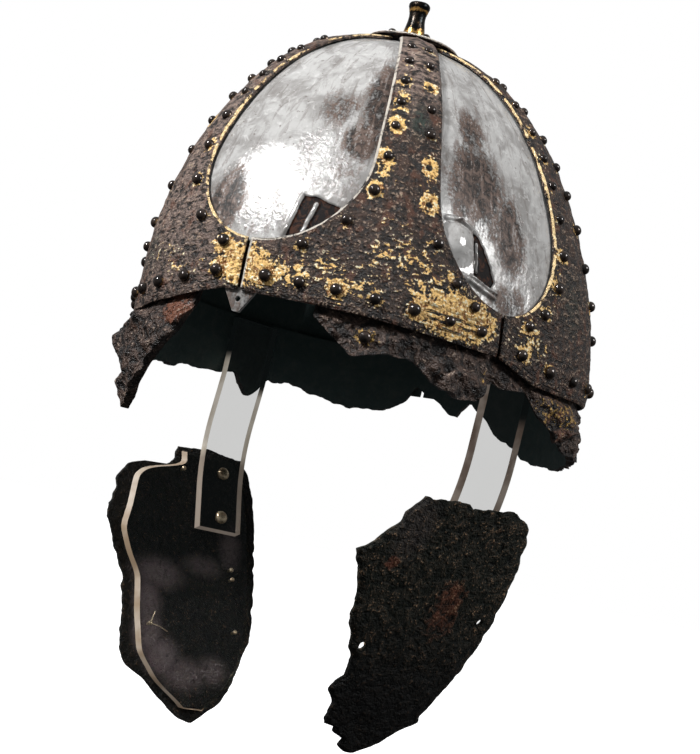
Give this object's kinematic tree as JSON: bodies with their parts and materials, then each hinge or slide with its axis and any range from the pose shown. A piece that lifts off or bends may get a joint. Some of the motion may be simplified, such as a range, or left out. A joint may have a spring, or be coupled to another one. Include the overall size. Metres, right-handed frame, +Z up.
{
  "type": "parade helmet",
  "caption": "Early medieval banded parade helmet with gilt copper bands over silvered iron plates, a corroded brow band, a plume holder and cheek pieces on clear straps.",
  "frame": {"origin": "centre of the rim, which is the lower edge of the six bands, where the helmet sits round a head", "axes": "+Z up to the plume holder, -Y to the front, +X to the wearer's left"},
  "size_m": [0.2089, 0.2324, 0.3597],
  "materials": {
    "gilt": "gilt copper under brown and purple tarnish, gold left along edges and around rivets",
    "silver": "silver skin on iron, polished in places, stained grey and brown",
    "iron": "corroded iron, nearly black with rusty patches",
    "acrylic": "clear acrylic sheet with brownish edges",
    "steel": "dull screw metal"
  },
  "bodies": {
    "root": {"band_front": "gilt", "band_front_left": "gilt", "band_back_left": "gilt", "band_back": "gilt", "band_back_right": "gilt", "band_front_right": "gilt", "apex_disc": "gilt", "plume_holder": "gilt", "plate_front_left": "silver", "plate_left": "silver", "plate_back_left": "silver", "plate_back_right": "silver", "plate_right": "silver", "plate_front_right": "silver", "brow_band": "iron", "cheek_piece_left": "iron", "backing_sheet_left": "acrylic", "strap_left": "acrylic", "screw_left_upper": "steel", "screw_left_lower": "steel", "cheek_piece_right": "iron", "backing_sheet_right": "acrylic", "strap_right": "acrylic", "screw_right_upper": "steel", "screw_right_lower": "steel"}
  },
  "joints": []
}
